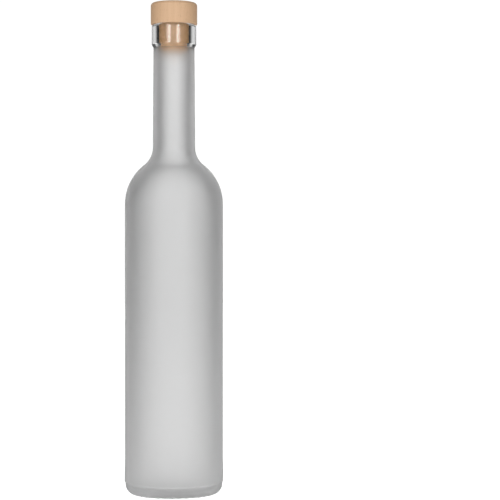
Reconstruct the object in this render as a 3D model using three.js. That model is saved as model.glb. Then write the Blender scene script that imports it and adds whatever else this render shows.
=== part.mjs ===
// A slim round glass bottle of half a litre, closed by a push-in stopper with a turned wooden head.
// Lengths are in millimetres and +Z is up. The origin is the centre of the ring that the bottle stands on.
// All three pieces are round, so each one is a closed profile of (radius, height) points, turned about Z.
import * as THREE from "three";

// Outside of the blown glass
const bottleHeight = 304.5;
const bodyRadius = 31.8;
const shoulderStart = 188;
const shoulderRound = 32.3;
const neckHollowRound = 14.5;
const neckFootRadius = 13.7;
const neckTopRadius = 13.3;

// The ring of thick glass round the mouth
const finishRadius = 14.5;
const finishHeight = 13.6;
const finishTopRound = 1.3;
const finishFootRound = 0.8;
const finishFootFall = 1.4;
const mouthEdgeRound = 0.9;

// Heel and base: the body mould stands a little proud of the bottom plate, where the two meet in a seam
const heelBandProud = 0.2;
const heelBandHeight = 6;
const heelBandBlend = 10;
const seamHeight = 7.4;
const seamFall = 0.9;
const seamStep = 0.6;
const heelRound = 6.5;
const standingRingWidth = 2.6;
const puntEdgeRound = 1.2;
const puntDepth = 6;

// Inside of the glass
const bodyWall = 3;
const floorThickness = 5.5;
const valleyRound = 4;
const boreRadius = 9.8;
const innerHollowRound = 18.4;

// The stopper: a turned wooden head, bored from below to take the top of a cork shank, which is glued in
const headRadius = 15.1;
const headHeight = 14.3;
const headTopRound = 2.2;
const headFootRound = 0.6;
const shankLength = 17.5;
const shankFootRound = 1;
const shankClearance = 0.15;
const shankSeatDepth = 4;
const glueLine = 0.2;

// How finely the turned surfaces are cut
const turnSegments = 48;
const stepsPerRound = 4;
const stepsPerShoulder = 8;

const vec = (radius, height) => new THREE.Vector2(radius, height);

// Points on an arc from one angle to another, in degrees, 0 pointing away from the axis and 90 up.
function arc(centre, round, fromDegrees, toDegrees, steps) {
  const points = [];
  for (let i = 0; i <= steps; i++) {
    const angle = THREE.MathUtils.degToRad(
      fromDegrees + ((toDegrees - fromDegrees) * i) / steps,
    );
    points.push(
      vec(
        centre.x + round * Math.cos(angle),
        centre.y + round * Math.sin(angle),
      ),
    );
  }
  return points;
}

// The S-curve from a straight body wall up into a straight neck: the shoulder's round, then the hollow round.
// The two rounds touch at one point, which fixes the height at which the neck begins.
function shoulderCurve(wallRadius, round, neckRadius, hollow) {
  const shoulderCentre = vec(wallRadius - round, shoulderStart);
  const across = neckRadius + hollow - shoulderCentre.x;
  const rise = Math.sqrt((round + hollow) ** 2 - across ** 2);
  const hollowCentre = vec(neckRadius + hollow, shoulderStart + rise);
  const meet = THREE.MathUtils.radToDeg(Math.atan2(rise, across));
  return [
    ...arc(shoulderCentre, round, 0, meet, stepsPerShoulder),
    ...arc(hollowCentre, hollow, meet - 180, -180, stepsPerShoulder).slice(1),
  ];
}

// A solid of revolution from a profile whose two ends lie on the axis.
function turned(profile) {
  const geometry = new THREE.LatheGeometry(profile, turnSegments);
  return geometry.rotateX(Math.PI / 2);
}

// The underside, from the middle of the punt out to the heel and up to the mould seam.
function undersideProfile() {
  const plateRadius = bodyRadius + heelBandProud - seamStep;
  const ringOuter = plateRadius - heelRound;
  const ringInner = ringOuter - standingRingWidth;
  const puntMouth = ringInner - puntEdgeRound;
  const puntRise = puntDepth - puntEdgeRound;
  const puntRound = (puntMouth ** 2 + puntRise ** 2) / (2 * puntRise);
  const puntCentre = vec(0, puntDepth - puntRound);
  const puntFoot = THREE.MathUtils.radToDeg(
    Math.atan2(puntEdgeRound - puntCentre.y, puntMouth),
  );
  const points = [
    ...arc(puntCentre, puntRound, 90, puntFoot, stepsPerShoulder),
    ...arc(vec(ringInner, puntEdgeRound), puntEdgeRound, 180, 270, stepsPerRound).slice(1),
    ...arc(vec(ringOuter, heelRound), heelRound, -90, 0, 2 * stepsPerRound),
  ];
  return { points, puntCentre, puntRound, plateRadius };
}

// The outside wall, from the seam at the heel up to the flat rim of the mouth.
function outsideProfile(plateRadius) {
  const bandRadius = bodyRadius + heelBandProud;
  const bandTop = seamHeight + seamFall + heelBandHeight;
  const finishFoot = bottleHeight - finishHeight;
  return [
    vec(plateRadius, seamHeight),
    vec(bandRadius, seamHeight + seamFall),
    vec(bandRadius, bandTop),
    vec(bodyRadius, bandTop + heelBandBlend),
    ...shoulderCurve(bodyRadius, shoulderRound, neckFootRadius, neckHollowRound),
    vec(neckTopRadius, finishFoot - finishFootFall),
    ...arc(
      vec(finishRadius - finishFootRound, finishFoot + finishFootRound),
      finishFootRound,
      -45,
      0,
      stepsPerRound,
    ),
    ...arc(
      vec(finishRadius - finishTopRound, bottleHeight - finishTopRound),
      finishTopRound,
      0,
      90,
      stepsPerRound,
    ),
  ];
}

// The inside wall, from the rim of the mouth down the bore and over the floor to the axis.
function insideProfile(puntCentre, puntRound) {
  const wallRadius = bodyRadius - bodyWall;
  const floorRound = puntRound + floorThickness;
  const valleyAcross = wallRadius - valleyRound;
  const valleyRise = Math.sqrt(
    (floorRound + valleyRound) ** 2 - valleyAcross ** 2,
  );
  const valleyCentre = vec(valleyAcross, puntCentre.y + valleyRise);
  const meet = THREE.MathUtils.radToDeg(Math.atan2(valleyRise, valleyAcross));
  return [
    ...arc(
      vec(boreRadius + mouthEdgeRound, bottleHeight - mouthEdgeRound),
      mouthEdgeRound,
      90,
      180,
      stepsPerRound,
    ),
    ...shoulderCurve(
      wallRadius,
      shoulderRound - bodyWall,
      boreRadius,
      innerHollowRound,
    ).reverse(),
    ...arc(valleyCentre, valleyRound, 0, meet - 180, 2 * stepsPerRound),
    ...arc(puntCentre, floorRound, meet, 90, stepsPerShoulder).slice(1),
  ];
}

function bottleGeometry() {
  const { points, puntCentre, puntRound, plateRadius } = undersideProfile();
  return turned([
    ...points,
    ...outsideProfile(plateRadius),
    ...insideProfile(puntCentre, puntRound),
  ]);
}

// The head, standing on its own underside at height 0, with the blind hole that the shank is glued into.
function headGeometry() {
  const socketRadius = boreRadius - shankClearance + glueLine;
  const socketDepth = shankSeatDepth + glueLine;
  return turned([
    vec(0, socketDepth),
    vec(socketRadius, socketDepth),
    vec(socketRadius, 0),
    ...arc(
      vec(headRadius - headFootRound, headFootRound),
      headFootRound,
      -90,
      0,
      stepsPerRound,
    ),
    ...arc(
      vec(headRadius - headTopRound, headHeight - headTopRound),
      headTopRound,
      0,
      90,
      stepsPerRound,
    ),
    vec(0, headHeight),
  ]);
}

// The shank: a plain cork cylinder that hangs below height 0, with its top seated above it in the head.
function shankGeometry() {
  const shankRadius = boreRadius - shankClearance;
  return turned([
    vec(0, -shankLength),
    ...arc(
      vec(shankRadius - shankFootRound, shankFootRound - shankLength),
      shankFootRound,
      -90,
      0,
      stepsPerRound,
    ),
    vec(shankRadius, shankSeatDepth),
    vec(0, shankSeatDepth),
  ]);
}

const frostedGlass = new THREE.MeshStandardMaterial({
  color: new THREE.Color().setRGB(0.85, 0.86, 0.86, THREE.SRGBColorSpace),
  roughness: 0.55,
  metalness: 0,
  transparent: true,
  opacity: 0.6,
});

const beech = new THREE.MeshStandardMaterial({
  color: new THREE.Color().setRGB(0.86, 0.71, 0.57, THREE.SRGBColorSpace),
  roughness: 0.6,
  metalness: 0,
});

const pressedCork = new THREE.MeshStandardMaterial({
  color: new THREE.Color().setRGB(0.78, 0.62, 0.47, THREE.SRGBColorSpace),
  roughness: 0.75,
  metalness: 0,
});

function piece(name, geometry, material) {
  const mesh = new THREE.Mesh(geometry, material);
  mesh.name = name;
  return mesh;
}

// The stopper's own group, placed with the head's underside on the rim of the mouth.
const stopper = new THREE.Group();
stopper.add(piece("stopper_head", headGeometry(), beech));
stopper.add(piece("stopper_shank", shankGeometry(), pressedCork));
stopper.position.z = bottleHeight;

const bottle = new THREE.Group();
bottle.add(piece("bottle", bottleGeometry(), frostedGlass));
bottle.add(stopper);

export default bottle;
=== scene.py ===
import math

import bpy
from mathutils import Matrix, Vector


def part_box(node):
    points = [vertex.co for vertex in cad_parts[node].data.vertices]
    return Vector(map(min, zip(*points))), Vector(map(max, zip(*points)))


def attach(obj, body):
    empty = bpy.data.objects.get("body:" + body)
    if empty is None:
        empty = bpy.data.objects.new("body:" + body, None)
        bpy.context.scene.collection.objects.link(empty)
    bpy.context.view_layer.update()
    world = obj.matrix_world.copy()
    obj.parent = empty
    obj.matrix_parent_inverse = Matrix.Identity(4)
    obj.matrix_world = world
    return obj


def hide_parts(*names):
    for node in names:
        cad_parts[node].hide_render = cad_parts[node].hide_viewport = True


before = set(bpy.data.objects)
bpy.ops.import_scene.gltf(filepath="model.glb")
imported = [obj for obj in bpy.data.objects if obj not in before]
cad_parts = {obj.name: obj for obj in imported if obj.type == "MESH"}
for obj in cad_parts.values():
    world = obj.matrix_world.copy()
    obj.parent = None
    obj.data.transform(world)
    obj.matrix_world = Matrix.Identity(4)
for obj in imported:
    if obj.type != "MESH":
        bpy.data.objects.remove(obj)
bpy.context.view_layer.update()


# The bottle, one piece of clear glass blown in a two-part body mould that stands on a bottom plate.
# The outside is frosted with acid up to the foot of the ring round the mouth. The ring was masked, so it
# stays clear, as the inside does. The bottom plate leaves fine radial teeth on the standing ring.
bottle_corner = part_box("bottle")[1]
bottle_height = bottle_corner.z
band_radius = bottle_corner.x
band_proud = 0.0002
body_radius = band_radius - band_proud
shoulder_start = 0.188
shoulder_round = 0.0323
neck_hollow_round = 0.0145
neck_foot_radius = 0.0137
neck_top_radius = 0.0133
finish_radius = 0.0145
finish_height = 0.0136
finish_top_round = 0.0013
finish_foot_round = 0.0008
finish_foot_fall = 0.0014
mouth_edge_round = 0.0009
seam_step = 0.0006
seam_height = 0.0074
seam_fall = 0.0009
seam_round = 0.0012
band_height = 0.006
band_blend = 0.01
heel_round = 0.0065
standing_ring_width = 0.0026
punt_edge_round = 0.0012
punt_depth = 0.006
body_wall = 0.003
floor_thickness = 0.0055
valley_round = 0.004
bore_radius = 0.0098
inner_hollow_round = 0.0184
neck_row_height = 0.23
neck_row_radius = 0.01368
mouth_row_depth = 0.002
frost_edge = 0.0001
bar_count = 36
tooth_count = 3 * bar_count
fine_share = 0.3
tooth_depth = 0.0008
tooth_fade = 0.003
tooth_zone_height = 0.004
segments_per_tooth = 4


def arc(centre, radius, start, end, steps):
    """Profile points (distance from the axis, height) on a round, between two angles in degrees."""
    points = []
    for step in range(steps + 1):
        angle = math.radians(start + (end - start) * step / steps)
        points.append((centre[0] + radius * math.cos(angle), centre[1] + radius * math.sin(angle)))
    return points


def straight(start, end, steps):
    """Profile points on a straight stretch."""
    return [
        (
            start[0] + (end[0] - start[0]) * step / steps,
            start[1] + (end[1] - start[1]) * step / steps,
        )
        for step in range(steps + 1)
    ]


def shoulder_curve(wall_radius, round_radius, neck_radius, hollow_radius):
    """The S-curve from a straight body wall up into a straight neck, of two rounds that touch."""
    across = neck_radius + hollow_radius - (wall_radius - round_radius)
    rise = math.sqrt((round_radius + hollow_radius) ** 2 - across**2)
    meet = math.degrees(math.atan2(rise, across))
    round_centre = (wall_radius - round_radius, shoulder_start)
    hollow_centre = (neck_radius + hollow_radius, shoulder_start + rise)
    return [
        *arc(round_centre, round_radius, 0, meet, steps=22),
        *arc(hollow_centre, hollow_radius, meet - 180, -180, steps=18),
    ]


def turned(name, stretches, segments):
    """A closed turned mesh. Each stretch is a list of profile points and how frosted they are."""
    same_point = 1e-7
    sharp_edge = math.radians(40)
    profile = []
    frosting = []
    for points, frosted in stretches:
        for point in points:
            if not profile or math.dist(point, profile[-1]) > same_point:
                profile.append(point)
                frosting.append(frosted)
    vertices = [(0, 0, profile[0][1])]
    for radius, height in profile[1:-1]:
        for segment in range(segments):
            angle = 2 * math.pi * segment / segments
            vertices.append((radius * math.cos(angle), radius * math.sin(angle), height))
    vertices.append((0, 0, profile[-1][1]))

    def corner(row, segment):
        if row == 0:
            return 0
        if row == len(profile) - 1:
            return len(vertices) - 1
        return 1 + (row - 1) * segments + segment % segments

    faces = []
    for row in range(len(profile) - 1):
        for segment in range(segments):
            corners = [
                corner(row, segment),
                corner(row, segment + 1),
                corner(row + 1, segment + 1),
                corner(row + 1, segment),
            ]
            faces.append(list(dict.fromkeys(corners)))
    mesh = bpy.data.meshes.new(name)
    mesh.from_pydata(vertices, [], faces)
    frost = mesh.attributes.new("frost", "FLOAT", "POINT")
    rings = [value for value in frosting[1:-1] for _ in range(segments)]
    frost.data.foreach_set("value", [frosting[0], *rings, frosting[-1]])
    mesh.shade_smooth()
    mesh.set_sharp_from_angle(angle=sharp_edge)
    return mesh


def bottle_mesh():
    """The whole bottle's glass, from the middle of the punt, up the outside and down the inside."""
    plate_radius = band_radius - seam_step
    ring_outer = plate_radius - heel_round
    ring_inner = ring_outer - standing_ring_width
    punt_mouth = ring_inner - punt_edge_round
    punt_rise = punt_depth - punt_edge_round
    punt_round = (punt_mouth**2 + punt_rise**2) / (2 * punt_rise)
    punt_centre = (0, punt_depth - punt_round)
    punt_foot = math.degrees(math.atan2(punt_edge_round - punt_centre[1], punt_mouth))
    seam_turn = math.acos(1 - seam_step / (2 * seam_round))
    seam_rise = seam_round * math.sin(seam_turn)
    seam_middle = seam_height + seam_fall / 2
    seam_low = (plate_radius + seam_round, seam_middle - seam_rise)
    seam_high = (band_radius - seam_round, seam_middle + seam_rise)
    band_top = seam_height + seam_fall + band_height
    finish_foot = bottle_height - finish_height
    neck_top = (neck_top_radius, finish_foot - finish_foot_fall)
    foot_centre = (finish_radius - finish_foot_round, finish_foot + finish_foot_round)
    rim_centre = (finish_radius - finish_top_round, bottle_height - finish_top_round)
    mouth_centre = (bore_radius + mouth_edge_round, bottle_height - mouth_edge_round)
    frosted = [
        *arc(punt_centre, punt_round, 90, punt_foot, steps=12),
        *arc((ring_inner, punt_edge_round), punt_edge_round, 180, 270, steps=6),
        *straight((ring_inner, 0), (ring_outer, 0), steps=4),
        *arc((ring_outer, heel_round), heel_round, -90, 0, steps=16),
        *arc(seam_low, seam_round, 180, 180 - math.degrees(seam_turn), steps=4),
        *arc(seam_high, seam_round, -math.degrees(seam_turn), 0, steps=4),
        (band_radius, band_top),
        *straight((body_radius, band_top + band_blend), (body_radius, shoulder_start), steps=6),
        *shoulder_curve(body_radius, shoulder_round, neck_foot_radius, neck_hollow_round),
        (neck_row_radius, neck_row_height),
        neck_top,
    ]
    clear = [
        (neck_top[0] + frost_edge, neck_top[1] + frost_edge),
        *arc(foot_centre, finish_foot_round, -45, 0, steps=6),
        *arc(rim_centre, finish_top_round, 0, 90, steps=10),
        *arc(mouth_centre, mouth_edge_round, 90, 180, steps=8),
        (bore_radius, bottle_height - mouth_row_depth),
        (bore_radius, neck_row_height),
    ]
    wall_radius = body_radius - body_wall
    floor_round = punt_round + floor_thickness
    valley_across = wall_radius - valley_round
    valley_rise = math.sqrt((floor_round + valley_round) ** 2 - valley_across**2)
    valley_centre = (valley_across, punt_centre[1] + valley_rise)
    meet = math.degrees(math.atan2(valley_rise, valley_across))
    inner_shoulder = shoulder_curve(
        wall_radius,
        shoulder_round - body_wall,
        bore_radius,
        inner_hollow_round,
    )
    clear += [
        *reversed(inner_shoulder),
        *straight((wall_radius, shoulder_start), (wall_radius, valley_centre[1]), steps=6),
        *arc(valley_centre, valley_round, 0, meet - 180, steps=14),
        *arc(punt_centre, floor_round, meet, 90, steps=12),
    ]
    return turned("bottle_glass", [(frosted, 1.0), (clear, 0.0)], tooth_count * segments_per_tooth)


class Value:
    """A socket that a node gives. Sums written with it add Math nodes to its tree."""

    def __init__(self, recipe, socket):
        self.recipe = recipe
        self.socket = socket

    def math(self, operation, *terms):
        return self.recipe.node("ShaderNodeMath", {"operation": operation}, dict(enumerate(terms)))

    def __add__(self, other):
        return self.math("ADD", self, other)

    def __radd__(self, other):
        return self.math("ADD", other, self)

    def __sub__(self, other):
        return self.math("SUBTRACT", self, other)

    def __rsub__(self, other):
        return self.math("SUBTRACT", other, self)

    def __mul__(self, other):
        return self.math("MULTIPLY", self, other)

    def __rmul__(self, other):
        return self.math("MULTIPLY", other, self)

    def __truediv__(self, other):
        return self.math("DIVIDE", self, other)


class Recipe:
    """A node tree, to which one method adds every kind of node."""

    def __init__(self, tree):
        self.tree = tree

    def node(self, kind, settings=None, inputs=None, output=0):
        """Adds a node, makes its settings, then its values and links, and gives one of its outputs."""
        added = self.tree.nodes.new(kind)
        for name, setting in (settings or {}).items():
            setattr(added, name, setting)
        for name, value in (inputs or {}).items():
            if isinstance(value, Value):
                self.tree.links.new(value.socket, added.inputs[name])
            else:
                added.inputs[name].default_value = value
        return Value(self, added.outputs[output]) if len(added.outputs) else None

    def blend(self, share, first, second):
        """A colour that goes from the first to the second as share goes from 0 to 1."""
        settings = {"data_type": "RGBA"}
        return self.node("ShaderNodeMix", settings, {0: share, 6: first, 7: second}, output=2)

    def ease(self, value, low, high):
        """0 below low and 1 above high, with a soft step between."""
        settings = {"interpolation_type": "SMOOTHSTEP"}
        return self.node(
            "ShaderNodeMapRange",
            settings,
            {"Value": value, "From Min": low, "From Max": high},
        )

    def noise(self, place, scale, detail):
        """Cloudy noise from 0 to 1. Scale is how many clouds there are to the metre."""
        inputs = {"Vector": place, "Scale": scale, "Detail": detail}
        return self.node("ShaderNodeTexNoise", None, inputs)

    def bump(self, strength, depth, height):
        """The shader's normal over small bumps. Depth, in metres, is what a height of 1 stands for."""
        inputs = {"Strength": strength, "Distance": depth, "Height": height}
        return self.node("ShaderNodeBump", None, inputs)

    def axes(self, vector):
        """The x, y and z of a vector."""
        split = self.node("ShaderNodeSeparateXYZ", None, {0: vector}).socket.node
        return [Value(self, split.outputs[axis]) for axis in range(3)]


def finished_material(name, shader_inputs):
    """A material of one Principled shader. shader_inputs takes the recipe and gives the shader's inputs."""
    material = bpy.data.materials.new(name)
    material.use_nodes = True
    material.node_tree.nodes.clear()
    recipe = Recipe(material.node_tree)
    shader = recipe.node("ShaderNodeBsdfPrincipled", None, shader_inputs(recipe))
    recipe.node("ShaderNodeOutputMaterial", None, {"Surface": shader})
    return material


def frosted_glass(recipe):
    """Glass that is etched where the frost attribute is 1, and clear and polished where it is 0."""
    clear_colour = (0.985, 0.985, 0.985, 1)
    frost_colour = (0.935, 0.937, 0.937, 1)
    clear_roughness = 0.01
    frost_roughness = 0.64
    frost_clouding = 0.06
    etch_depth = 0.00003
    frost = recipe.node("ShaderNodeAttribute", {"attribute_name": "frost"}, output="Fac")
    place = recipe.node("ShaderNodeTexCoord", output="Object")
    cloud = recipe.noise(place, scale=70.0, detail=3.0)
    etch = recipe.noise(place, scale=2600.0, detail=2.0)
    added_roughness = frost_roughness - clear_roughness + (cloud - 0.5) * frost_clouding
    return {
        "Base Color": recipe.blend(frost, clear_colour, frost_colour),
        "Roughness": clear_roughness + frost * added_roughness,
        "Normal": recipe.bump(0.25, etch_depth, etch * frost),
        "IOR": 1.5,
        "Transmission Weight": 1.0,
    }


def tooth_tree():
    """Geometry nodes that cut gaps into the standing ring, wide between its bars and fine between teeth.
    The tips of the teeth stay at height 0."""
    tree = bpy.data.node_groups.new("standing_ring_teeth", "GeometryNodeTree")
    sizes = ("Bars", "Teeth", "Fine Share", "Depth", "Inner Radius", "Outer Radius", "Fade", "Zone Height")
    tree.interface.new_socket("Geometry", in_out="INPUT", socket_type="NodeSocketGeometry")
    for size in sizes:
        tree.interface.new_socket(size, in_out="INPUT", socket_type="NodeSocketFloat")
    tree.interface.new_socket("Glass", in_out="INPUT", socket_type="NodeSocketMaterial")
    tree.interface.new_socket("Geometry", in_out="OUTPUT", socket_type="NodeSocketGeometry")
    recipe = Recipe(tree)
    entry = tree.nodes.new("NodeGroupInput")
    given = {socket.name: Value(recipe, socket) for socket in entry.outputs if socket.name}
    x, y, z = recipe.axes(recipe.node("GeometryNodeInputPosition"))
    angle = y.math("ARCTAN2", y, x)
    radius = x.math("SQRT", x * x + y * y)
    bar_gap = 0.5 - 0.5 * angle.math("COSINE", angle * given["Bars"])
    tooth_gap = 0.5 - 0.5 * angle.math("COSINE", angle * given["Teeth"])
    gap = bar_gap * bar_gap * (1 - given["Fine Share"]) + tooth_gap * given["Fine Share"]
    inside = recipe.ease(radius, given["Inner Radius"] - given["Fade"], given["Inner Radius"])
    outside = recipe.ease(radius, given["Outer Radius"], given["Outer Radius"] + given["Fade"])
    under = z.math("LESS_THAN", z, given["Zone Height"])
    lift = given["Depth"] * gap * inside * (1 - outside) * under
    offset = recipe.node("ShaderNodeCombineXYZ", None, {"Z": lift})
    cut = recipe.node(
        "GeometryNodeSetPosition",
        None,
        {"Geometry": given["Geometry"], "Offset": offset},
    )
    realized = recipe.node("GeometryNodeRealizeInstances", None, {"Geometry": cut})
    finished = recipe.node(
        "GeometryNodeSetMaterial",
        None,
        {"Geometry": realized, "Material": given["Glass"]},
    )
    recipe.node("NodeGroupOutput", None, {"Geometry": finished})
    return tree


def grown(name, mesh, tree, inputs):
    """A plain mesh object from what a tree of geometry nodes makes of a mesh."""
    piece = bpy.data.objects.new(name, mesh)
    bpy.context.scene.collection.objects.link(piece)
    modifier = piece.modifiers.new("nodes", "NODES")
    modifier.node_group = tree
    for socket in tree.interface.items_tree:
        if socket.in_out == "INPUT" and socket.name in inputs:
            modifier[socket.identifier] = inputs[socket.name]
    evaluated = piece.evaluated_get(bpy.context.evaluated_depsgraph_get())
    made = bpy.data.meshes.new_from_object(evaluated)
    made.name = name
    piece.modifiers.remove(modifier)
    piece.data = made
    return piece


ring_outer_radius = band_radius - seam_step - heel_round
glass = grown(
    "glass_bottle",
    bottle_mesh(),
    tooth_tree(),
    {
        "Bars": bar_count,
        "Teeth": tooth_count,
        "Fine Share": fine_share,
        "Depth": tooth_depth,
        "Inner Radius": ring_outer_radius - standing_ring_width,
        "Outer Radius": ring_outer_radius,
        "Fade": tooth_fade,
        "Zone Height": tooth_zone_height,
        "Glass": finished_material("etched_glass", frosted_glass),
    },
)
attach(glass, "bottle")
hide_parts("bottle")


# The stopper's head, turned from beech with the grain upright, sanded and left without varnish.
# It is bored from below for the shank, and its foot rests on the rim of the mouth.
head_low, head_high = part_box("stopper_head")
head_radius = head_high.x
head_top_round = 0.0022
head_foot_round = 0.0006
seat_depth = 0.004
shank_clearance = 0.00015
glue_line = 0.0002
shank_radius = bore_radius - shank_clearance
head_segments = 192


def head_mesh():
    socket_radius = shank_radius + glue_line
    socket_top = head_low.z + seat_depth + glue_line
    foot_centre = (head_radius - head_foot_round, head_low.z + head_foot_round)
    top_centre = (head_radius - head_top_round, head_high.z - head_top_round)
    profile = [
        (0, socket_top),
        *straight((socket_radius, socket_top), (socket_radius, head_low.z), steps=4),
        *arc(foot_centre, head_foot_round, -90, 0, steps=8),
        *arc(top_centre, head_top_round, 0, 90, steps=14),
        (0, head_high.z),
    ]
    return turned("stopper_head_wood", [(profile, 0.0)], head_segments)


def beech(recipe):
    """Beech: faint growth rings, long fine grain, and short dark flecks where the rays are cut."""
    pale = (0.76, 0.495, 0.30, 1)
    late = (0.68, 0.43, 0.25, 1)
    fleck_colour = (0.40, 0.225, 0.12, 1)
    ring_width = 0.0026
    ring_wander = 0.004
    pith = (-0.055, 0.035, 0.0)
    pore_depth = 0.00005
    long_grain = (1, 1, 0.07)
    long_fleck = (1, 1, 0.13)
    place = recipe.node("ShaderNodeTexCoord", output="Object")
    along = recipe.node("ShaderNodeMapping", None, {"Vector": place, "Scale": long_grain})
    wobble = recipe.noise(along, scale=90.0, detail=3.0)
    from_pith = recipe.node(
        "ShaderNodeVectorMath",
        {"operation": "SUBTRACT"},
        {0: along, 1: pith},
    )
    flat = recipe.node(
        "ShaderNodeVectorMath",
        {"operation": "MULTIPLY"},
        {0: from_pith, 1: (1, 1, 0)},
    )
    distance = recipe.node("ShaderNodeVectorMath", {"operation": "LENGTH"}, {0: flat}, output="Value")
    ring = (distance + (wobble - 0.5) * ring_wander) / ring_width
    ring_share = ring.math("FRACT", ring)
    grain = recipe.noise(along, scale=1500.0, detail=4.0)
    fleck_place = recipe.node("ShaderNodeMapping", None, {"Vector": place, "Scale": long_fleck})
    fleck = recipe.ease(recipe.noise(fleck_place, scale=2800.0, detail=1.0), 0.67, 0.75)
    wood = recipe.blend(ring_share * 0.35 + (grain - 0.5) * 0.6, pale, late)
    return {
        "Base Color": recipe.blend(fleck * 0.6, wood, fleck_colour),
        "Roughness": 0.5 + grain * 0.2,
        "Normal": recipe.bump(0.35, pore_depth, grain - fleck),
    }


def plain_piece(name, mesh, material):
    """An object of one material, whose place is in its mesh."""
    mesh.materials.append(material)
    piece = bpy.data.objects.new(name, mesh)
    bpy.context.scene.collection.objects.link(piece)
    return piece


head = plain_piece("wooden_head", head_mesh(), finished_material("turned_beech", beech))
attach(head, "stopper")
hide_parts("stopper_head")


# The stopper's shank, a cylinder pressed from fine cork granules and ground to size.
# It is glued into the head, and the mouth squeezes it.
shank_low, shank_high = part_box("stopper_shank")
shank_foot_round = 0.001
shank_row_height = 0.003
shank_segments = 160


def shank_mesh():
    foot_centre = (shank_radius - shank_foot_round, shank_low.z + shank_foot_round)
    lowest_row = (shank_radius, shank_low.z + shank_row_height)
    profile = [
        (0, shank_low.z),
        *arc(foot_centre, shank_foot_round, -90, 0, steps=8),
        *straight(lowest_row, (shank_radius, shank_high.z), steps=6),
        (0, shank_high.z),
    ]
    return turned("stopper_shank_cork", [(profile, 0.0)], shank_segments)


def pressed_cork(recipe):
    """Cork granules of slightly different tans, pressed together, with a few dark specks."""
    light = (0.90, 0.545, 0.285, 1)
    dark = (0.72, 0.415, 0.20, 1)
    speck_colour = (0.26, 0.14, 0.075, 1)
    granules_per_metre = 1100.0
    pit_depth = 0.00008
    place = recipe.node("ShaderNodeTexCoord", output="Object")
    granules = {"Vector": place, "Scale": granules_per_metre}
    granule = recipe.node("ShaderNodeTexVoronoi", None, granules, output="Color")
    tone = recipe.node("ShaderNodeSeparateColor", None, {0: granule})
    gap = recipe.node("ShaderNodeTexVoronoi", {"feature": "DISTANCE_TO_EDGE"}, granules)
    seam = 1 - recipe.ease(gap, 0.0, 0.12)
    speck = recipe.ease(recipe.noise(place, scale=1900.0, detail=2.0), 0.66, 0.72)
    cork = recipe.blend(tone, light, dark)
    return {
        "Base Color": recipe.blend(speck.math("MAXIMUM", speck * 0.8, seam * 0.25), cork, speck_colour),
        "Roughness": 0.7 + tone * 0.12,
        "Normal": recipe.bump(0.4, pit_depth, 1 - seam - speck),
    }


shank = plain_piece("cork_shank", shank_mesh(), finished_material("ground_cork", pressed_cork))
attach(shank, "stopper")
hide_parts("stopper_shank")


# The studio: a pale floor, a bright wall of light behind, black sides, a soft light in front,
# and two small soft boxes beside the camera that give the clear ring its two highlights.
floor_radius = 4.0
floor_segments = 64
white = 1.05


def floor_mesh():
    mesh = bpy.data.meshes.new("studio_floor")
    rim = []
    for segment in range(floor_segments):
        angle = 2 * math.pi * segment / floor_segments
        rim.append((floor_radius * math.cos(angle), floor_radius * math.sin(angle), 0))
    mesh.from_pydata(rim, [], [range(floor_segments)])
    return mesh


def pale_floor(recipe):
    """A white floor that glows as a light from below round the bottle and less so far away, with a painted
    shadow of dimmer glow under the bottle's foot.
    It glows more dimly on the glass than it looks."""
    # The dimmer glow under the bottle's foot is a painted shadow of the bottle.
    painted_foot_shadow_glow = (0.48, 0.48, 0.48, 1)
    near_glow = (0.66, 0.66, 0.66, 1)
    far_glow = (0.10, 0.10, 0.10, 1)
    full_glow = (white, white, white, 1)
    place = recipe.node("ShaderNodeTexCoord", output="Object")
    distance = recipe.node("ShaderNodeVectorMath", {"operation": "LENGTH"}, {0: place}, output="Value")
    # Within 0.04 m of the axis the floor shows the painted shadow, which fades out by 0.25 m.
    past_painted_foot_shadow = recipe.ease(distance, 0.04, 0.25)
    far_away = recipe.ease(distance, 0.3, 1.2)
    glow = recipe.blend(far_away, recipe.blend(past_painted_foot_shadow, painted_foot_shadow_glow, near_glow), far_glow)
    seen = recipe.node("ShaderNodeLightPath", output="Is Camera Ray")
    return {
        "Base Color": (0.6, 0.6, 0.6, 1),
        "Roughness": 0.9,
        "Emission Color": recipe.blend(seen, glow, full_glow),
        "Emission Strength": 1.0,
    }


floor = plain_piece("studio_floor", floor_mesh(), finished_material("pale_floor", pale_floor))


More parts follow.
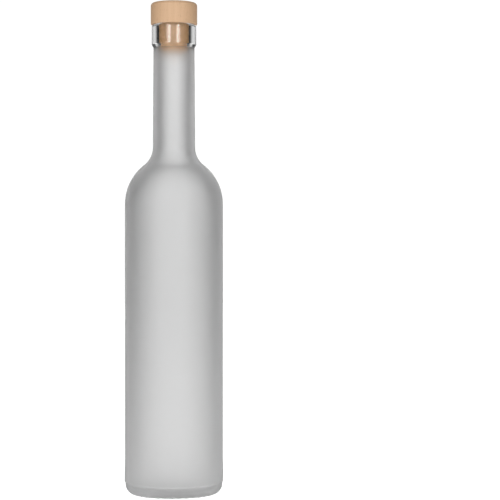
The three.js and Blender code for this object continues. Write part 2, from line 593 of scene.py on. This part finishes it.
def studio_world():
    """Bright behind the bottle and more so higher up, soft in front of it, dark at its sides and overhead.
    The camera itself sees only white."""
    back_low = 0.8
    back_high = 1.5
    front_light = 1.22
    front_falloff = 2.0
    ceiling_light = 0.12
    ceiling_share = 0.2
    world = bpy.data.worlds.new("studio")
    bpy.context.scene.world = world
    world.use_nodes = True
    world.node_tree.nodes.clear()
    recipe = Recipe(world.node_tree)
    x, y, z = recipe.axes(recipe.node("ShaderNodeTexCoord", output="Generated"))
    level_length = x.math("SQRT", x * x + y * y)
    towards_back = y / level_length.math("MAXIMUM", level_length, 0.001)
    back = recipe.ease(towards_back, 0.58, 1.04)
    towards_front = y.math("MAXIMUM", 0 - towards_back, 0)
    front = towards_front.math("POWER", towards_front, front_falloff)
    climb = recipe.ease(z, 0.12, 0.38)
    overhead = recipe.ease(z, 0.38, 0.62)
    around = back * (back_low + climb * (back_high - back_low)) + front * front_light
    level = around * (1 - overhead * (1 - ceiling_share)) + overhead * ceiling_light
    seen = recipe.node("ShaderNodeLightPath", output="Is Camera Ray")
    strength = level.math("MAXIMUM", level, seen * white)
    background = recipe.node("ShaderNodeBackground", None, {"Color": (1, 1, 1, 1), "Strength": strength})
    recipe.node("ShaderNodeOutputWorld", None, {"Surface": background})


def soft_box(name, azimuth, power):
    """A square light in front of the bottle, azimuth degrees to the right of the camera, facing the axis."""
    distance = 1.2
    side = 0.36
    height = 0.47
    data = bpy.data.lights.new(name, "AREA")
    data.shape = "SQUARE"
    data.size = side
    data.energy = power
    light = bpy.data.objects.new(name, data)
    bpy.context.scene.collection.objects.link(light)
    turn = math.radians(azimuth)
    light.location = (distance * math.sin(turn), -distance * math.cos(turn), height)
    aim = Vector((0, 0, height)) - light.location
    light.rotation_euler = aim.to_track_quat("-Z", "Y").to_euler()


studio_world()
soft_box("left_soft_box", azimuth=-27, power=2.4)
soft_box("right_soft_box", azimuth=26, power=2.3)


# The camera stands as the photograph's did: level, a little over a metre away, to the right of the bottle.
# One pixel of its 500 pixel picture is 0.65 mm at the bottle's axis.
picture_width = 500
metres_per_pixel = 0.00065
axis_column = 174
floor_row = 493.5
camera_distance = 1.1167
half_width = picture_width / 2 * metres_per_pixel
camera_data = bpy.data.cameras.new("camera")
camera_data.angle = 2 * math.atan(half_width / camera_distance)
camera = bpy.data.objects.new("camera", camera_data)
camera.location = (
    (picture_width / 2 - axis_column) * metres_per_pixel,
    -camera_distance,
    (floor_row - picture_width / 2) * metres_per_pixel,
)
camera.rotation_euler = (math.pi / 2, 0, 0)
bpy.context.scene.collection.objects.link(camera)

scene = bpy.context.scene
scene.camera = camera
scene.view_settings.view_transform = "Standard"
scene.cycles.use_denoising = True
scene.cycles.max_bounces = 24
scene.cycles.transmission_bounces = 24
